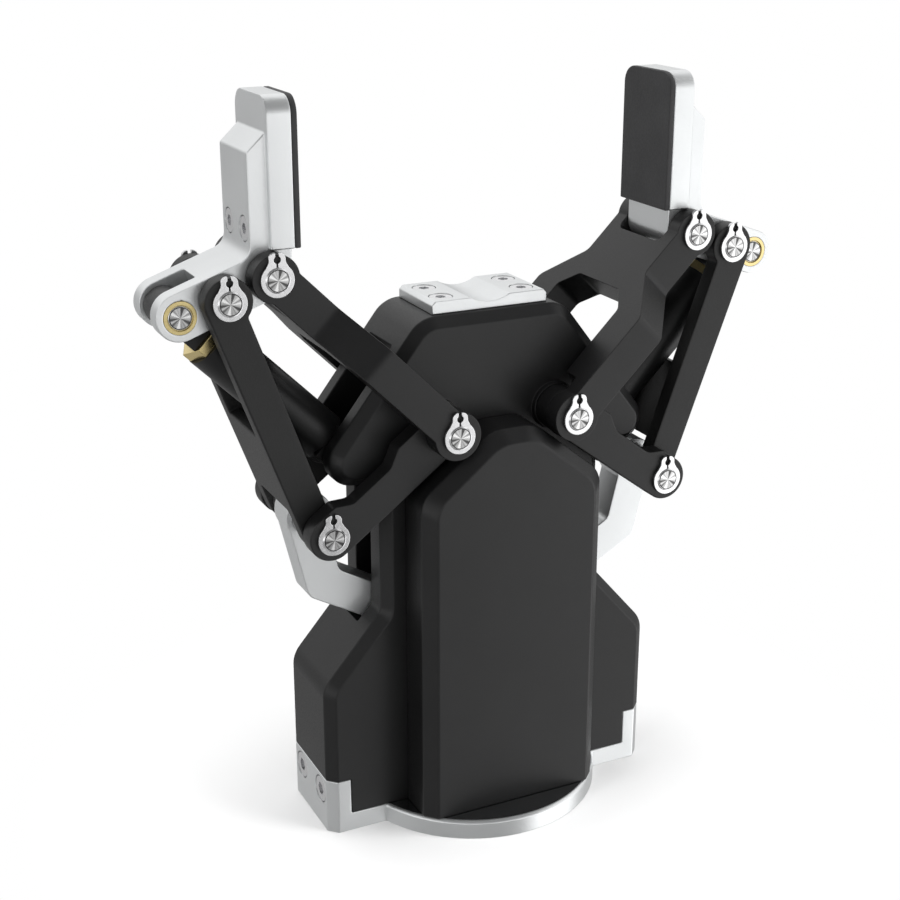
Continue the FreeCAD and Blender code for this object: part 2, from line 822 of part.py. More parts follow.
outer_web = prism("y", [
    to_wrist(outer_length * outer_web_low, elbow_eye - outer_web_thick),
    to_wrist(outer_length * outer_web_high, elbow_eye - outer_web_thick),
    outer_edge(outer_web_high),
    outer_edge(outer_web_low),
], -y_outer - 1, y_outer + 1)
outer_link = cut(
    join(outer_web, *ends(outer_plate)),
    rod("y", elbow[0], elbow[1], pin_r + wrap_play, -y_outer_end - 1, y_outer_end + 1),
    rod("y", wrist[0], wrist[1], pin_r + fit, -y_outer_end - 1, y_outer_end + 1),
)

# Fingertip
plate_in = pad_face + pad_thick
plate_out = plate_in + plate_thick
to_tail, tail_length = frame_of(knuckle, tail)
tail_way = to_tail(1, 0)
tail_way = (tail_way[0] - knuckle[0], tail_way[1] - knuckle[1])
rib_root = meet(to_tail(0, -tail_r)[:2], tail_way, (rib_face, 0), (0, 1))
tail_top = to_tail(tail_length * 0.5, -tail_r)
tip_face = [
    (-tip_width, tip_bottom, 0),
    (tip_width, tip_bottom, 0),
    (tip_width, tip_top, tip_round),
    (-tip_width, tip_top, tip_round),
]
tip_plate = prism("x", tip_face, plate_in, plate_out)
tip_rib = prism("y", [
    (plate_in + 0.4, tip_bottom + 2, 0),
    (plate_in + 0.4, knuckle[1], 0),
    (knuckle[0], knuckle[1], 0),
    to_tail(tail_length * 0.5, 0),
    tail_top,
    (rib_root[0], rib_root[1], 4.0),
    (rib_face, rib_top, 1.0),
    (plate_out - 0.2, rib_top + 4.3, 0),
    (plate_out - 1.0, rib_top + 4.3, 0),
    (plate_out - 1.0, tip_bottom + 2, 0),
], -tip_half, tip_half)
tip_tail = join(
    prism("y", [
        to_tail(0, tail_r),
        to_tail(tail_length, tail_r),
        to_tail(tail_length, -tail_r),
        to_tail(0, -tail_r),
    ], -tip_half, tip_half),
    rod("y", knuckle[0], knuckle[1], tail_r, -tip_half, tip_half),
    rod("y", tail[0], tail[1], tail_r, -tip_half, tip_half),
)
fork = prism("y", [
    to_tail(tail_length - fork_depth, tail_r + 2),
    to_tail(tail_length + tail_r + 2, tail_r + 2),
    to_tail(tail_length + tail_r + 2, -tail_r - 2),
    to_tail(tail_length - fork_depth, -tail_r - 2),
], -fork_half, fork_half)
tip_screw_y = 5.1
tip_screw_z = tip_bottom + 4.4
bush_r = 3.75
bush_depth = 1.5
tip_tools = [
    fork,
    rod("y", knuckle[0], knuckle[1], pin_r, -tip_half - 1, tip_half + 1),
    rod("y", wrist[0], wrist[1], pin_r, -tip_half - 1, tip_half + 1),
    rod("y", tail[0], tail[1], pin_r, -tip_half - 1, tip_half + 1),
]
fingertip_screws = []
for y in (-tip_screw_y, tip_screw_y):
    tip_tools.append(rod("x", y, tip_screw_z, small_shank_r, plate_in + 1.5, rib_face + 1))
    tip_tools.append(rod("x", y, tip_screw_z, small_seat_r, rib_face - small_seat, rib_face + 1))
    fingertip_screws.append(socket_screw(
        "x", y, tip_screw_z, rib_face - seat_gap, small_head_r, small_seat - seat_gap,
        small_shank_r, rib_face - small_seat - plate_in - 2.5, 1, small_hex_r))
bushes = []
for low in (-tip_half, tip_half - bush_depth):
    tip_tools.append(rod("y", tail[0], tail[1], bush_r, low, low + bush_depth))
    bushes.append(cut(
        rod("y", tail[0], tail[1], bush_r, low, low + bush_depth),
        rod("y", tail[0], tail[1], pin_r, low - 1, low + bush_depth + 1),
    ))
fingertip = cut(join(tip_tail, tip_rib, tip_plate), *tip_tools)
finger_pad = prism("x", tip_face, pad_face, plate_in)
knuckle_end = y_outer_end + pin_proud
knuckle_pins = []
knuckle_circlips = []
for x, z in (knuckle, wrist):
    knuckle_pins.append(pin(x, z, -knuckle_end, knuckle_end, True))
    knuckle_circlips += clip(x, z, -knuckle_end, knuckle_end)
tail_pin = [pin(tail[0], tail[1], -tip_half, tip_half, False)]

# Strut from the tail of the fingertip down to the anchor pin in the housing
to_anchor, strut_length = frame_of(tail, anchor)


def strut_rod(radius, start, end):
    """Cylinder along the strut, between two distances from the tail pivot."""
    a = to_anchor(start, 0)
    b = to_anchor(end, 0)
    way = V(b[0] - a[0], 0, b[1] - a[1])
    return Part.makeCylinder(radius, end - start, V(a[0], 0, a[1]), way)


def strut_slab(start, end, d, y):
    return prism("y", [
        to_anchor(start, d),
        to_anchor(end, d),
        to_anchor(end, -d),
        to_anchor(start, -d),
    ], -y, y)


nut_face = math.radians(30)
nut_corner = lock_nut_half / math.cos(nut_face)
hexagon = [(nut_corner * math.cos(math.radians(60 * i)), nut_corner * math.sin(math.radians(60 * i)), 0)
           for i in range(6)]
lock_nut = prism("z", hexagon, lock_nut_start, barrel_start)
strut_turn = math.degrees(math.atan2(anchor[0] - tail[0], anchor[1] - tail[1]))
lock_nut.rotate(ORIGIN, AXES["y"], strut_turn)
lock_nut.translate(V(tail[0], 0, tail[1]))
thread_r = 3.0
thread_end = barrel_start + 16.0
strut_lock_nut = cut(lock_nut, strut_rod(thread_r, lock_nut_start - 1, barrel_start + 1))
strut_rod_end = cut(
    join(
        rod("y", tail[0], tail[1], rod_end_half + 0.9, -rod_end_y, rod_end_y),
        strut_slab(0, lock_nut_start, rod_end_half, rod_end_y),
        strut_rod(thread_r, lock_nut_start - 1, thread_end),
    ),
    rod("y", tail[0], tail[1], pin_r + fit, -rod_end_y - 1, rod_end_y + 1),
)
strut_barrel = cut(
    join(
        strut_rod(barrel_r, barrel_start, barrel_end),
        strut_slab(barrel_end - 1.0, strut_length, strut_eye - 0.6, slot_half - 0.5),
        rod("y", anchor[0], anchor[1], strut_eye, -slot_half + 0.5, slot_half - 0.5),
    ),
    strut_rod(thread_r, barrel_start - 1, thread_end),
    rod("y", anchor[0], anchor[1], pin_r + fit, -slot_half, slot_half),
)

nodes = {
    "base_plate": base_plate,
    "ear_screws": group(ear_screws),
    "housing": housing,
    "front_cover": front_cover,
    "back_cover": back_cover,
    "back_cover_screws": group(back_cover_screws),
    "top_cap": top_cap,
    "top_cap_screws": group(top_cap_screws),
    "motor": motor,
    "lower_bearing": lower_bearing,
    "top_bearing": top_bearing,
    "guide_rods": group(guide_rods),
    "control_board": control_board,
    "board_standoffs": group(board_standoffs),
    "rear_socket": rear_socket,
    "shoulder_pins": group(shoulder_pins),
    "shoulder_circlips": group(shoulder_circlips),
    "anchor_pins": group(anchor_pins),
    "lead_screw": lead_screw,
    "coupling": coupling,
    "drive_nut": drive_nut,
    "nut_pins": group(nut_pins),
}
finger = {
    "drive_link": drive_link,
    "rocker_plates": group(rocker_plates),
    "elbow_pin": group(elbow_pin),
    "elbow_circlips": group(elbow_circlips),
    "elbow_spacers": group(elbow_spacers),
    "inner_link": inner_link,
    "outer_link": outer_link,
    "fingertip": fingertip,
    "finger_pad": finger_pad,
    "fingertip_screws": group(fingertip_screws),
    "knuckle_pins": group(knuckle_pins),
    "knuckle_circlips": group(knuckle_circlips),
    "tail_pin": group(tail_pin),
    "tail_bushes": group(bushes),
    "strut_barrel": strut_barrel,
    "strut_rod_end": strut_rod_end,
    "strut_lock_nut": strut_lock_nut,
}
for name, shape in finger.items():
    nodes[name + "_right"] = shape
    nodes[name + "_left"] = flip(shape, "x")

os.makedirs("parts", exist_ok=True)
for name, shape in nodes.items():
    shape.exportStep("parts/" + name + ".step")
print(len(nodes), "nodes")
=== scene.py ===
# %% [markdown]
# An electric gripper with two linked fingers, dressed for a studio picture. The imported model
# gives every piece at its real size and place. This file gives those pieces the rounded
# edges, the finishes and the light that the real gripper has.
#
# First the model is loaded.

# %% Load the imported model
import json
import math

import bpy
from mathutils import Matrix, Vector


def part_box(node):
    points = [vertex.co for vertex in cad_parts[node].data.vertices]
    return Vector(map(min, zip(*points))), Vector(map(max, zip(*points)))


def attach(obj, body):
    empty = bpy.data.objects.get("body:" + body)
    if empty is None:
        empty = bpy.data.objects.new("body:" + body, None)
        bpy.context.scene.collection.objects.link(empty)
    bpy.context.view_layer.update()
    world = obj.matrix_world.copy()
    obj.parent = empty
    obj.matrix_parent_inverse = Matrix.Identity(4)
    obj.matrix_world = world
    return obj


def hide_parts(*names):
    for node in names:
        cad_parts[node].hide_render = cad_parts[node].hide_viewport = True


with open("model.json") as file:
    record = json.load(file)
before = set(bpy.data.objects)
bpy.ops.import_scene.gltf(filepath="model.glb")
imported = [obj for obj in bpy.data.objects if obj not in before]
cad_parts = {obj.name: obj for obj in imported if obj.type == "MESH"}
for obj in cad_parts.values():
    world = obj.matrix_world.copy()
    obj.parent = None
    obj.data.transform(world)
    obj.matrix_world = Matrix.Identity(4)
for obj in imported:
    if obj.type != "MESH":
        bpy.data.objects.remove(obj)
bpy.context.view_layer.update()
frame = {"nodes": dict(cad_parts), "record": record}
nodes = frame["nodes"]
record = frame["record"]
body_of = {}
for body, members in record["behaviour"]["bodies"].items():
    for node in members:
        body_of[node] = body
slot_of = {part["node"]: part["material_slot"] for part in record["subparts"]}

# %% [markdown]
# The camera stands where the photograph was taken from: a little to the left of the
# gripper's front and above it. Its place, its two angles and its lens were worked out from
# the known sizes of the gripper, so every edge should fall where it does in the photograph.
# It could also be aimed by eye, but a worked-out camera shows at once which shapes are still
# wrong.

# %% Camera
MM = 0.001
MIDDLE = Vector((0.0, 0.0, 90.0)) * MM
CAMERA_PLACE = Vector((-167.4, -334.1, 226.7)) * MM
CAMERA_TURN = math.radians(25.78)
CAMERA_DOWN = math.radians(19.82)
LENS = 63.23
SENSOR_WIDTH = 36.0
NEAREST_SEEN = 10.0 * MM

scene = bpy.context.scene
camera_data = bpy.data.cameras.new("camera")
camera_data.lens = LENS
camera_data.sensor_width = SENSOR_WIDTH
camera_data.clip_start = NEAREST_SEEN
camera = bpy.data.objects.new("camera", camera_data)
camera.location = CAMERA_PLACE
camera.rotation_euler = (math.radians(90) - CAMERA_DOWN, 0.0, -CAMERA_TURN)
scene.collection.objects.link(camera)
scene.camera = camera
scene.view_settings.view_transform = "Standard"
print("camera is", round((CAMERA_PLACE - MIDDLE).length, 3), "m from the gripper")

# %% [markdown]
# A material is a small net of nodes. Nearly all the finishes here share one habit: a noise
# pattern read from Object coordinates, so that the grain stays on the piece when it moves,
# and has one size on every piece. A photograph of a surface could be laid on instead, but it
# would need a flat layout of every piece. One helper starts a shader. The others make the
# noise and turn it into a colour, a roughness or a fine relief.

# %% Helpers for finishes
NOISE_LOW = 0.3
NOISE_HIGH = 0.7


def start_finish(name):
    """New material, with its net of nodes and its shader."""
    material = bpy.data.materials.new(name)
    material.use_nodes = True
    tree = material.node_tree
    return material, tree, tree.nodes["Principled BSDF"]


def object_place(tree):
    """Object coordinates, in metres."""
    return tree.nodes.new("ShaderNodeTexCoord").outputs["Object"]


def add_noise(tree, place, scale, detail=2.0, roughness=0.5):
    """Noise over the given coordinates; scale is in waves per metre."""
    noise = tree.nodes.new("ShaderNodeTexNoise")
    noise.inputs["Scale"].default_value = scale
    noise.inputs["Detail"].default_value = detail
    noise.inputs["Roughness"].default_value = roughness
    tree.links.new(place, noise.inputs["Vector"])
    return noise.outputs["Fac"]


def add_colour(tree, noise, dark, light):
    """Colour between dark and light that follows the noise."""
    ramp = tree.nodes.new("ShaderNodeValToRGB")
    stops = zip(ramp.color_ramp.elements, (NOISE_LOW, NOISE_HIGH), (dark, light))
    for element, position, colour in stops:
        element.position = position
        element.color = (*colour, 1.0)
    tree.links.new(noise, ramp.inputs["Fac"])
    return ramp.outputs["Color"]


def add_range(tree, noise, low, high):
    """Number between low and high that follows the noise."""
    spread = tree.nodes.new("ShaderNodeMapRange")
    spread.inputs["From Min"].default_value = NOISE_LOW
    spread.inputs["From Max"].default_value = NOISE_HIGH
    spread.inputs["To Min"].default_value = low
    spread.inputs["To Max"].default_value = high
    tree.links.new(noise, spread.inputs["Value"])
    return spread.outputs["Result"]


def add_relief(tree, noise, strength, depth):
    """Bump that follows the noise; depth is in metres."""
    bump = tree.nodes.new("ShaderNodeBump")
    bump.inputs["Strength"].default_value = strength
    bump.inputs["Distance"].default_value = depth
    tree.links.new(noise, bump.inputs["Height"])
    return bump.outputs["Normal"]


# %% [markdown]
# The housing, the covers and most of the links are aluminium, blasted and anodised black.
# The skin is satin: almost black, with a soft grey sheen and a grain finer than a
# millimetre. It could be one dark colour, but then wide faces look like paper. Here a slow
# noise shifts the grey a little, and a fine noise gives the grain. The outer links are
# castings with a black coat, so their grain is coarser and their sheen weaker.

# %% Black anodised aluminium
BLACK_CLOUDS = 60.0
BLACK_SPECKS = 2600.0
BLACK_DEPTH = 0.06 * MM
BLACK_SHEEN = 0.45


def black_anodised(name, dark, light, rough, grain):
    """Satin black skin; grain is the strength of its relief."""
    material, tree, shader = start_finish(name)
    place = object_place(tree)
    cloud = add_noise(tree, place, BLACK_CLOUDS)
    speck = add_noise(tree, place, BLACK_SPECKS, detail=3.0, roughness=0.6)
    roughness = add_range(tree, speck, low=rough - 0.05, high=rough + 0.07)
    relief = add_relief(tree, speck, grain, BLACK_DEPTH)
    tree.links.new(add_colour(tree, cloud, dark, light), shader.inputs["Base Color"])
    tree.links.new(roughness, shader.inputs["Roughness"])
    tree.links.new(relief, shader.inputs["Normal"])
    shader.inputs["Specular IOR Level"].default_value = BLACK_SHEEN
    shader.inputs["Metallic"].default_value = 0.0
    return material


black = black_anodised(
    "black_anodised", dark=(0.0040, 0.0040, 0.0042), light=(0.0060, 0.0060, 0.0062),
    rough=0.40, grain=0.22)
black_cast = black_anodised(
    "black_casting", dark=(0.0045, 0.0045, 0.0045), light=(0.0070, 0.0070, 0.0070),
    rough=0.46, grain=0.4)
print("black finishes", black.name, black_cast.name)

# %% [markdown]
# The base plate, the top cap, the fingertips and the drive links are the same metal with a
# clear anodised skin: pale, satin and slightly cool. A metal shader reflects its
# surroundings, so its look comes mostly from the roughness. Fine blasting marks spread the
# reflection, and a slow noise keeps wide faces alive. A second, polished kind has hardly any
# marks. It is for the one face that works as a mirror, the top of the flange.

# %% Satin silver aluminium
SILVER_DARK = (0.74, 0.755, 0.76)
SILVER_LIGHT = (0.80, 0.815, 0.82)
SILVER_CLOUDS = 45.0
SILVER_MARKS = 3200.0
SILVER_DEPTH = 0.05 * MM


def clear_anodised(name, rough, grain, metal):
    """Pale metal; grain is the strength of its relief."""
    material, tree, shader = start_finish(name)
    place = object_place(tree)
    cloud = add_noise(tree, place, SILVER_CLOUDS)
    marks = add_noise(tree, place, SILVER_MARKS)
    colour = add_colour(tree, cloud, SILVER_DARK, SILVER_LIGHT)
    roughness = add_range(tree, marks, low=rough - 0.04, high=rough + 0.06)
    relief = add_relief(tree, marks, grain, SILVER_DEPTH)
    tree.links.new(colour, shader.inputs["Base Color"])
    tree.links.new(roughness, shader.inputs["Roughness"])
    tree.links.new(relief, shader.inputs["Normal"])
    shader.inputs["Metallic"].default_value = metal
    return material


silver = clear_anodised("satin_silver", rough=0.32, grain=0.22, metal=0.9)
polished = clear_anodised("polished_silver", rough=0.08, grain=0.02, metal=1.0)
print("silver finishes", silver.name, polished.name)

# %% [markdown]
# Pins, retaining rings and screws are bright turned steel, and the bushes and the lock nut
# are brass. Turning leaves fine rings round the axis. They could be modelled as stretched
# bumps, but on such small pieces they show only as a slight spread of the highlights, so a
# fine noise in the colour and the roughness is enough.

# %% Steel and brass
TURNING_MARKS = 1800.0


def turned_metal(name, dark, light, rough):
    """Bright metal as it leaves the lathe."""
    material, tree, shader = start_finish(name)
    marks = add_noise(tree, object_place(tree), TURNING_MARKS)
    roughness = add_range(tree, marks, low=rough - 0.02, high=rough + 0.03)
    tree.links.new(add_colour(tree, marks, dark, light), shader.inputs["Base Color"])
    tree.links.new(roughness, shader.inputs["Roughness"])
    shader.inputs["Metallic"].default_value = 1.0
    return material


steel = turned_metal(
    "turned_steel", dark=(0.80, 0.80, 0.81), light=(0.86, 0.86, 0.87), rough=0.22)
brass = turned_metal(
    "turned_brass", dark=(0.76, 0.62, 0.30), light=(0.81, 0.67, 0.33), rough=0.24)
print("turned metals", steel.name, brass.name)

# %% [markdown]
# The finger pads are black rubber, moulded with a fine matt texture. Rubber has a broad,
# weak sheen. The small plastic pieces inside, the coat of the motor and the circuit board
# could all be plain black, but they show through the slots and from behind, so they get
# finishes of their own, by the same recipe as the rubber.

# %% Rubber, plastic and board
MOULDED_CLOUDS = 80.0
MOULDED_DEPTH = 0.08 * MM


def moulded(name, dark, light, rough, grain, specks):
    """Matt surface from a mould or a spray; specks is in waves per metre."""
    material, tree, shader = start_finish(name)
    place = object_place(tree)
    cloud = add_noise(tree, place, MOULDED_CLOUDS)
    speck = add_noise(tree, place, specks, detail=4.0, roughness=0.65)
    roughness = add_range(tree, speck, low=rough - 0.06, high=rough + 0.06)
    relief = add_relief(tree, speck, grain, MOULDED_DEPTH)
    tree.links.new(add_colour(tree, cloud, dark, light), shader.inputs["Base Color"])
    tree.links.new(roughness, shader.inputs["Roughness"])
    tree.links.new(relief, shader.inputs["Normal"])
    return material


rubber = moulded(
    "pad_rubber", dark=(0.018, 0.018, 0.019), light=(0.025, 0.025, 0.026),
    rough=0.55, grain=0.5, specks=1500.0)
plastic = moulded(
    "socket_plastic", dark=(0.018, 0.018, 0.019), light=(0.026, 0.026, 0.027),
    rough=0.42, grain=0.2, specks=900.0)
motor_coat = moulded(
    "motor_coat", dark=(0.030, 0.030, 0.032), light=(0.042, 0.042, 0.044),
    rough=0.40, grain=0.2, specks=1200.0)
board = moulded(
    "board_green", dark=(0.010, 0.090, 0.035), light=(0.014, 0.120, 0.050),
    rough=0.35, grain=0.1, specks=700.0)
finish_of = {
    "silver": silver,
    "black": black,
    "black_cast": black_cast,
    "steel": steel,
    "brass": brass,
    "pad_rubber": rubber,
    "socket_plastic": plastic,
    "motor_black": motor_coat,
    "board": board,
}
print(len(finish_of), "finishes for the slots of the record")

# %% [markdown]
# A machined piece never has a perfectly sharp edge: a file or a tumbler breaks it by a few
# tenths of a millimetre, and that thin band catches the light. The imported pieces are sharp,
# so most of those that show get a twin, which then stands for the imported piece. The edges
# could be picked by hand, but there are far too many. So the twin's loose triangles are
# merged and flattened to wide faces again, and a Bevel modifier rounds each edge that is
# still sharp. A last modifier turns the shading towards the wide faces, so that these look
# flat and even and only the rounded edges shine.

# %% How a twin is made
MERGE_WITHIN = 0.004 * MM
FLAT_BELOW = math.radians(0.6)
SHARP_ABOVE = math.radians(28)
SMOOTH_BELOW = math.radians(30)
EDGE_STEPS = 2


def select_only(obj):
    """Select one object and make it the active one."""
    bpy.ops.object.select_all(action="DESELECT")
    obj.select_set(True)
    bpy.context.view_layer.objects.active = obj


def merge_triangles():
    """Make wide faces of the loose triangles of the active piece."""
    bpy.ops.object.mode_set(mode="EDIT")
    bpy.ops.mesh.select_all(action="SELECT")
    bpy.ops.mesh.remove_doubles(threshold=MERGE_WITHIN)
    bpy.ops.mesh.dissolve_limited(angle_limit=FLAT_BELOW)
    bpy.ops.object.mode_set(mode="OBJECT")


def round_edges(twin, width):
    """Round every sharp edge of the active piece."""
    bevel = twin.modifiers.new("broken_edges", "BEVEL")
    bevel.width = width
    bevel.segments = EDGE_STEPS
    bevel.limit_method = "ANGLE"
    bevel.angle_limit = SHARP_ABOVE
    bevel.use_clamp_overlap = False
    bevel.miter_outer = "MITER_ARC"
    bpy.ops.object.modifier_apply(modifier=bevel.name)


def shade_evenly(twin):
    """Smooth shading of the active piece that leaves its wide faces flat."""
    bpy.ops.object.shade_smooth_by_angle(angle=SMOOTH_BELOW)
    even = twin.modifiers.new("even_shading", "WEIGHTED_NORMAL")
    even.keep_sharp = True
    bpy.ops.object.modifier_apply(modifier=even.name)


def give_finish(obj, node):
    """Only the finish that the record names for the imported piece."""
    obj.data.materials.clear()
    obj.data.materials.append(finish_of[slot_of[node]])


def make_twin(node, width):
    """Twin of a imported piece, with its sharp edges rounded by the width."""
    twin = bpy.data.objects.new(node + "_finished", nodes[node].data.copy())
    scene.collection.objects.link(twin)
    select_only(twin)
    merge_triangles()
    round_edges(twin, width)
    shade_evenly(twin)
    give_finish(twin, node)
    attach(twin, body_of[node])
    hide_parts(node)
    return twin


# %% [markdown]
# One width for all the edges would be simpler, but they differ on the real gripper. The
# covers and the cast outer links are the softest. The inner links pass close by the
# fingertips when the gripper shuts, so their edges stay narrow, and the thin stamped rings
# have almost none.

# %% Twins with broken edges
SIDES = ("right", "left")
BODY_EDGES = {
    "housing": 0.35 * MM,
    "front_cover": 0.45 * MM,
    "back_cover": 0.45 * MM,
    "top_cap": 0.25 * MM,
    "base_plate": 0.3 * MM,
    "shoulder_circlips": 0.12 * MM,
}
FINGER_EDGES = {
    "inner_link": 0.25 * MM,
    "outer_link": 0.45 * MM,
    "rocker_plates": 0.4 * MM,
    "drive_link": 0.35 * MM,
    "fingertip": 0.35 * MM,
    "finger_pad": 0.3 * MM,
    "strut_rod_end": 0.2 * MM,
    "strut_lock_nut": 0.2 * MM,
    "elbow_circlips": 0.12 * MM,
    "knuckle_circlips": 0.12 * MM,
}

twins = {node: make_twin(node, width) for node, width in BODY_EDGES.items()}
for side in SIDES:
    for piece, width in FINGER_EDGES.items():
        node = piece + "_" + side
        twins[node] = make_twin(node, width)
print(len(twins), "twins with rounded edges")

# %% [markdown]
# The round flange of the base plate is turned bright on top: the black cover that stands on
# it shows in it as in a mirror, down to the thin rim. The flange could be cut off as a piece
# of its own, but a mesh can hold two finishes. So the faces that look up at that height get
# the polished one.

# %% Bright face of the flange
FLANGE_TOP = 5.0 * MM
HEIGHT_SLACK = 0.1 * MM
LOOKS_UP = 0.99
plate = twins["base_plate"].data
plate.materials.append(polished)
polished_place = len(plate.materials) - 1
bright = 0
for polygon in plate.polygons:
    at_top = abs(polygon.center.z - FLANGE_TOP) < HEIGHT_SLACK
    if at_top and polygon.normal.z > LOOKS_UP:
        polygon.material_index = polished_place
        bright += 1
print(bright, "bright faces on the flange")

# %% [markdown]
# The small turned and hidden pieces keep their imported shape. They could have twins too, but
# their rounded edges would be too small to see. The barrels of the struts are left alone
# because a bevel throws spikes where their curves run together. All these pieces only get a
# finish and smooth shading.

# %% Finishes on the other pieces
for node, obj in nodes.items():
    if node in twins:
        continue
    give_finish(obj, node)
    select_only(obj)
    bpy.ops.object.shade_smooth_by_angle(angle=SMOOTH_BELOW)
print(len(nodes) - len(twins), "pieces keep their packed shape")

# %% [markdown]
# The end of a pin is turned flat on a lathe. Its fine rings are far too fine to model one by
# one, so each end gets a thin disc that carries a painted reflection of them: a circle filled
# with narrow wedges, pulled out a little, with a rim set off by an inset.

# %% Shape of a pin face
FACE_RADIUS = 2.55 * MM
FACE_THICK = 0.05 * MM
RIM_WIDTH = 0.22 * MM
WEDGES = 72

bpy.ops.object.select_all(action="DESELECT")
bpy.ops.mesh.primitive_circle_add(
    vertices=WEDGES, radius=FACE_RADIUS, fill_type="TRIFAN", rotation=(math.radians(90), 0, 0))
face_model = bpy.context.object
face_model.name = "turned_face_model"
bpy.ops.object.transform_apply(location=True, rotation=True, scale=True)
bpy.ops.object.mode_set(mode="EDIT")
bpy.ops.mesh.select_all(action="SELECT")
bpy.ops.mesh.extrude_region_move(TRANSFORM_OT_translate={"value": (0, -FACE_THICK, 0)})
bpy.ops.mesh.inset(thickness=RIM_WIDTH)
bpy.ops.mesh.select_all(action="SELECT")
bpy.ops.mesh.normals_make_consistent(inside=False)
bpy.ops.object.mode_set(mode="OBJECT")
print("pin face of", len(face_model.data.polygons), "faces")

# %% [markdown]
# The turned rings of a pin reflect the light in bright and dark rays from the centre, like a
# fan. Here these rays are a painted reflection. A stretched noise could imitate them, but it
# would need coordinates round each pin. So every wedge of the disc has its own painted grey,
# kept in a colour attribute. The greys are a sum of waves round the disc, each with a number
# of rays, a height and a start, so the rays are as uneven as real ones. The rim is almost
# black: painted shade for the groove that holds the retaining ring.

# %% Painted reflection rays on a pin face
# Greys of the painted reflection rays on the pin face.
MEAN_PAINTED_RAY_GREY = 0.52
DARKEST_PAINTED_RAY = 0.10
# Painted shade of the groove round the pin, on the rim of the disc.
RIM_SHADE_GREY = 0.05
PAINTED_RAY_WAVES = ((3, 0.30, 0.6), (7, 0.28, 2.0), (13, 0.18, 0.0))
FACE_ROUGHNESS = 0.25


def painted_ray_grey_at(spot):
    """Painted grey of the pin face at a spot on it: painted reflection rays, painted shade at
    the rim.
    """
    if math.hypot(spot.x, spot.z) > FACE_RADIUS - RIM_WIDTH:
        return RIM_SHADE_GREY
    turn = math.atan2(spot.z, spot.x)
    grey = MEAN_PAINTED_RAY_GREY
    for rays, height, start in PAINTED_RAY_WAVES:
        grey += height * math.sin(rays * turn + start)
    return min(1.0, max(DARKEST_PAINTED_RAY, grey))


# The colour attribute holds the painted reflection rays and the painted shade of the rim.
painted_reflection_rays = face_model.data.color_attributes.new("painted_reflection_rays", "FLOAT_COLOR", "CORNER")
greys = []
for polygon in face_model.data.polygons:
    grey = painted_ray_grey_at(polygon.center)
    greys.append(grey)
    for loop in polygon.loop_indices:
        painted_reflection_rays.data[loop].color = (grey, grey, grey, 1.0)

face_finish, face_tree, face_shader = start_finish("turned_face")
face_painted_rays = face_tree.nodes.new("ShaderNodeVertexColor")
face_painted_rays.layer_name = "painted_reflection_rays"
# The painted greys are the base colour of the face and stand in for its real reflection.
face_tree.links.new(face_painted_rays.outputs["Color"], face_shader.inputs["Base Color"])
face_shader.inputs["Metallic"].default_value = 1.0
face_shader.inputs["Roughness"].default_value = FACE_ROUGHNESS
face_model.data.materials.append(face_finish)
print("rays from grey", round(min(greys), 2), "to", round(max(greys), 2))

# %% [markdown]
# Each pin of the linkage that shows has two such ends, one in front and one behind. The disc
# could be modelled again on every one. Here it is copied, the copies that ride on the same
# pins are joined to one piece, and the first disc is thrown away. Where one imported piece
# holds two pins, their middles come from the joints that turn on them, and otherwise the
# middle of a pin is that of its box.

# %% Pin faces on every pin end
hinge_spots = {}
for joint in record["behaviour"]["joints"]:
    if joint["type"] == "hinge":
        x, _, z = joint["pos_m"]
        hinge_spots[joint["name"]] = (x, z)


def middle_of(node):
    """Middle of a pin in x and z."""
    low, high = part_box(node)
    return (low[0] + high[0]) / 2, (low[2] + high[2]) / 2


def pin_faces(body, node, spots):
    """Discs on both ends of the pins of a node, with their middles at the (x, z) spots."""
    low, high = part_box(node)
    ends = ((low[1], 0.0), (high[1], math.pi))
    copies = []
    for x, z in spots:
        for y, turn in ends:
            disc = bpy.data.objects.new("pin_face", face_model.data.copy())
            scene.collection.objects.link(disc)
            disc.location = (x, y, z)
            disc.rotation_euler = (0, 0, turn)
            copies.append(disc)
    select_only(copies[0])
    for disc in copies:
        disc.select_set(True)
    bpy.ops.object.join()
    bpy.ops.object.transform_apply(location=True, rotation=True, scale=True)
    joined = bpy.context.object
    joined.name = node + "_faces"
    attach(joined, body)
    return joined


shoulders = [hinge_spots["inner_link_swing_" + side] for side in SIDES]
faces = [pin_faces("body", "shoulder_pins", shoulders)]
for side in SIDES:
    rocker = "rocker_" + side
    fingertip = "fingertip_" + side
    elbow_pin = "elbow_pin_" + side
    tail_pin = "tail_pin_" + side
    knuckles = [hinge_spots["fingertip_pivot_" + side], hinge_spots["outer_link_pivot_" + side]]
    faces.append(pin_faces(rocker, elbow_pin, [middle_of(elbow_pin)]))
    faces.append(pin_faces(fingertip, "knuckle_pins_" + side, knuckles))
    faces.append(pin_faces(fingertip, tail_pin, [middle_of(tail_pin)]))
bpy.data.objects.remove(face_model)
print(len(faces), "sets of pin faces")

# %% [markdown]
# The floor and the room need light that changes with distance or direction. A Map Range node
# with a smooth step does that without a visible border. Its two levels may themselves come
# from other nodes, so that steps can stand inside each other. The same node also chooses
# between two levels by the kind of ray, because a ray's kind is either 0 or 1.

# %% Helpers for light


def add_step(tree, value, start, end, low=0.0, high=1.0):
    """Smooth step from low at start to high at end; both levels are sockets or numbers."""
    step = tree.nodes.new("ShaderNodeMapRange")
    step.interpolation_type = "SMOOTHSTEP"
    step.inputs["From Min"].default_value = start
    step.inputs["From Max"].default_value = end
    for socket, level in ((step.inputs["To Min"], low), (step.inputs["To Max"], high)):
        if isinstance(level, float):
            socket.default_value = level
        else:
            tree.links.new(level, socket)
    tree.links.new(value, step.inputs["Value"])
    return step.outputs["Result"]


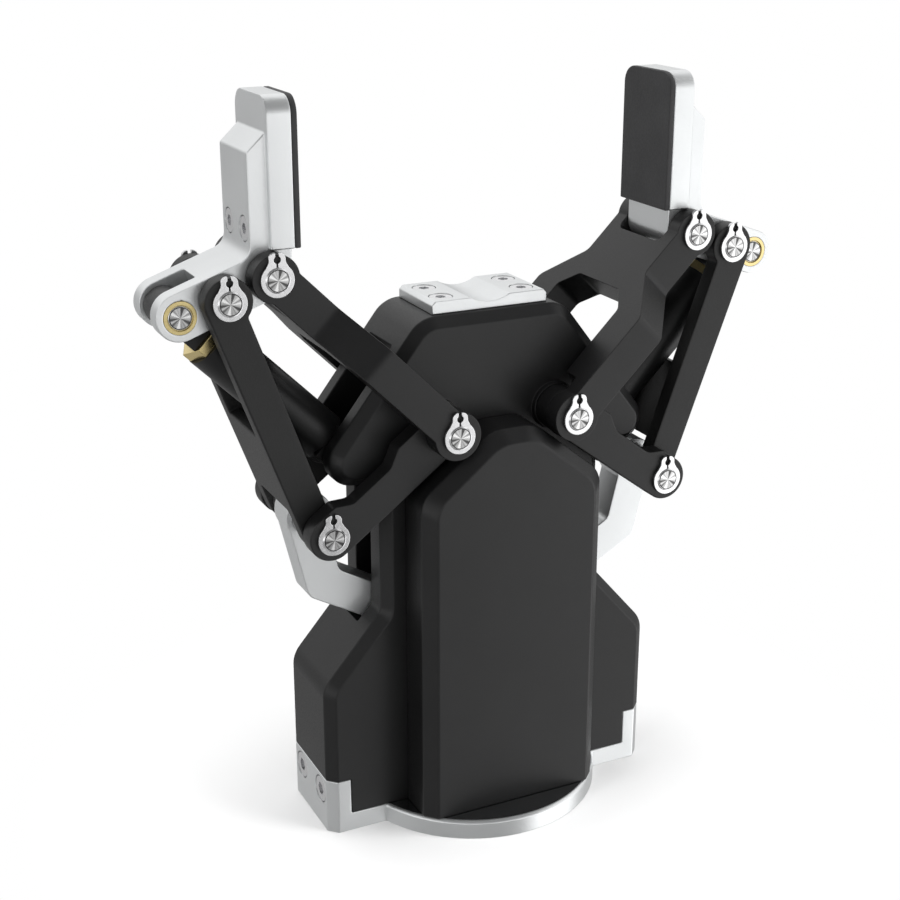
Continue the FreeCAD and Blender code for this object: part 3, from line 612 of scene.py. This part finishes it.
def choose(tree, ray_kind, others, these):
    """One level for rays of this kind and one for all others."""
    return add_step(tree, ray_kind, start=0.0, end=1.0, low=others, high=these)


def multiply(tree, first, second):
    """Product of two sockets."""
    product = tree.nodes.new("ShaderNodeMath")
    product.operation = "MULTIPLY"
    tree.links.new(first, product.inputs[0])
    tree.links.new(second, product.inputs[1])
    return product.outputs["Value"]


# %% [markdown]
# The gripper stands on a white table without an end. Near it the floor shows its soft
# shadow, and further out it fades into the white of the background. A plain white plane
# could be lit until it is as white, but that much light would bleach the silver. So the far
# floor simply shows white to the camera. Reflected rays pass through the floor, so that the
# pieces also show the part of the room that lies below the horizon.

# %% Floor
FLOOR_SIZE = 3.0
FLOOR_GREY = (0.95, 0.95, 0.95, 1)
FLOOR_ROUGHNESS = 0.9
WHITE = (1, 1, 1, 1)
FADE_START = 50 * MM
FADE_END = 120 * MM

bpy.ops.object.select_all(action="DESELECT")
bpy.ops.mesh.primitive_plane_add(size=FLOOR_SIZE, location=(0, 0, 0))
floor = bpy.context.object
floor.name = "floor"
floor_finish, floor_tree, floor_shader = start_finish("pale_floor")
floor_shader.inputs["Base Color"].default_value = FLOOR_GREY
floor_shader.inputs["Roughness"].default_value = FLOOR_ROUGHNESS
distance = floor_tree.nodes.new("ShaderNodeVectorMath")
distance.operation = "LENGTH"
floor_tree.links.new(object_place(floor_tree), distance.inputs[0])
fade = add_step(floor_tree, distance.outputs["Value"], FADE_START, FADE_END)
white = floor_tree.nodes.new("ShaderNodeEmission")
white.inputs["Color"].default_value = WHITE
seen = floor_tree.nodes.new("ShaderNodeLightPath")
white_part = multiply(floor_tree, fade, seen.outputs["Is Camera Ray"])
blend = floor_tree.nodes.new("ShaderNodeMixShader")
floor_output = floor_tree.nodes["Material Output"]
floor_tree.links.new(white_part, blend.inputs["Fac"])
floor_tree.links.new(floor_shader.outputs["BSDF"], blend.inputs[1])
floor_tree.links.new(white.outputs["Emission"], blend.inputs[2])
floor_tree.links.new(blend.outputs["Shader"], floor_output.inputs["Surface"])
floor.data.materials.append(floor_finish)
floor.visible_glossy = False
print("floor of", FLOOR_SIZE, "m, white from", FADE_END, "m out")

# %% [markdown]
# The picture is taken in a white room, bright from the front, with a brighter panel low at
# the right and dimmer walls low at the left and behind. Satin black and bare metal show
# hardly any colour of their own, only what stands around them: the panel lightens the front
# faces towards the right. Lamps alone could be used, but on black they leave only small
# highlights. So the world gets a brightness for each direction, made of steps along the
# three axes.

# %% Walls of the room
WHITE_LEVEL = 1.0
LEFT_LEVEL = 0.30
RIGHT_LEVEL = 1.75
HORIZON_LEVEL = 1.3
BACK_LEVEL = 0.45
LEFT_TO_RIGHT = (0.32, 0.56)
BELOW_TO_HORIZON = (-0.30, -0.15)
WALL_TO_CEILING = (0.0, 0.35)
FRONT_TO_BACK = (-0.3, 0.1)

world = bpy.data.worlds.new("white_room")
scene.world = world
world.use_nodes = True
room = world.node_tree
way = room.nodes.new("ShaderNodeTexCoord").outputs["Generated"]
way_parts = room.nodes.new("ShaderNodeSeparateXYZ")
room.links.new(way, way_parts.inputs["Vector"])
way_x, way_y, way_z = way_parts.outputs
front_low = add_step(room, way_x, *LEFT_TO_RIGHT, LEFT_LEVEL, RIGHT_LEVEL)
front = add_step(room, way_z, *BELOW_TO_HORIZON, front_low, HORIZON_LEVEL)
back = add_step(room, way_z, *WALL_TO_CEILING, BACK_LEVEL, WHITE_LEVEL)
walls = add_step(room, way_y, *FRONT_TO_BACK, front, back)
print("walls from", LEFT_LEVEL, "to", RIGHT_LEVEL, "times white")

# %% [markdown]
# A dark screen hangs high in front. It makes the chamfers that face up and forwards almost
# black, as they are in the photograph. It could be a real plane, but that would also stand
# in the light of the lamps. As a round patch of the world it only shows in reflections: the
# dot product of a direction with the way to the screen says how near the two are.

# %% Dark screen
SCREEN_WAY = (-0.156, -0.548, 0.822)
SCREEN_LEVEL = 0.15
SCREEN_EDGE = (0.35, 0.85)

nearness = room.nodes.new("ShaderNodeVectorMath")
nearness.operation = "DOT_PRODUCT"
nearness.inputs[1].default_value = SCREEN_WAY
room.links.new(way, nearness.inputs[0])
screen = add_step(room, nearness.outputs["Value"], *SCREEN_EDGE, WHITE_LEVEL, SCREEN_LEVEL)
print("screen leaves", SCREEN_LEVEL, "of the light")

# %% [markdown]
# Only reflected rays get these walls and the screen. To the camera the room is white, and as
# a source of light it is even, so that black stays black. One brightness for all rays would
# be simpler, but then a white background would bleach the gripper.

# %% What each kind of ray gets
ROOM_LIGHT = 0.55

background = room.nodes["Background"]
background.inputs["Color"].default_value = WHITE
reflected = multiply(room, walls, screen)
ray = room.nodes.new("ShaderNodeLightPath")
not_seen = choose(room, ray.outputs["Is Glossy Ray"], others=ROOM_LIGHT, these=reflected)
level = choose(room, ray.outputs["Is Camera Ray"], others=not_seen, these=WHITE_LEVEL)
room.links.new(level, background.inputs["Strength"])
print("room of", len(room.nodes), "nodes")

# %% [markdown]
# Three wide, round lamps stand as soft boxes would: at the right in front, overhead and at
# the left. The room alone could light the gripper, but then it would hardly throw a shadow.
# The lamps give the light a direction, and they don't show as highlights, because the room
# already gives the reflections.

# %% Lamps


def soft_lamp(name, place, size, power):
    """Round lamp that faces the middle of the gripper; power is in watts."""
    data = bpy.data.lights.new(name, "AREA")
    data.shape = "DISK"
    data.size = size
    data.energy = power
    lamp = bpy.data.objects.new(name, data)
    lamp.location = place
    lamp.rotation_euler = (MIDDLE - lamp.location).to_track_quat("-Z", "Y").to_euler()
    lamp.visible_glossy = False
    scene.collection.objects.link(lamp)
    return lamp


lamps = [
    soft_lamp("key", place=(0.55, -0.45, 0.75), size=0.5, power=5.0),
    soft_lamp("top", place=(-0.1, 0.1, 0.95), size=0.6, power=5.0),
    soft_lamp("fill", place=(-0.7, -0.35, 0.35), size=0.5, power=2.0),
]
print(len(lamps), "soft lamps")
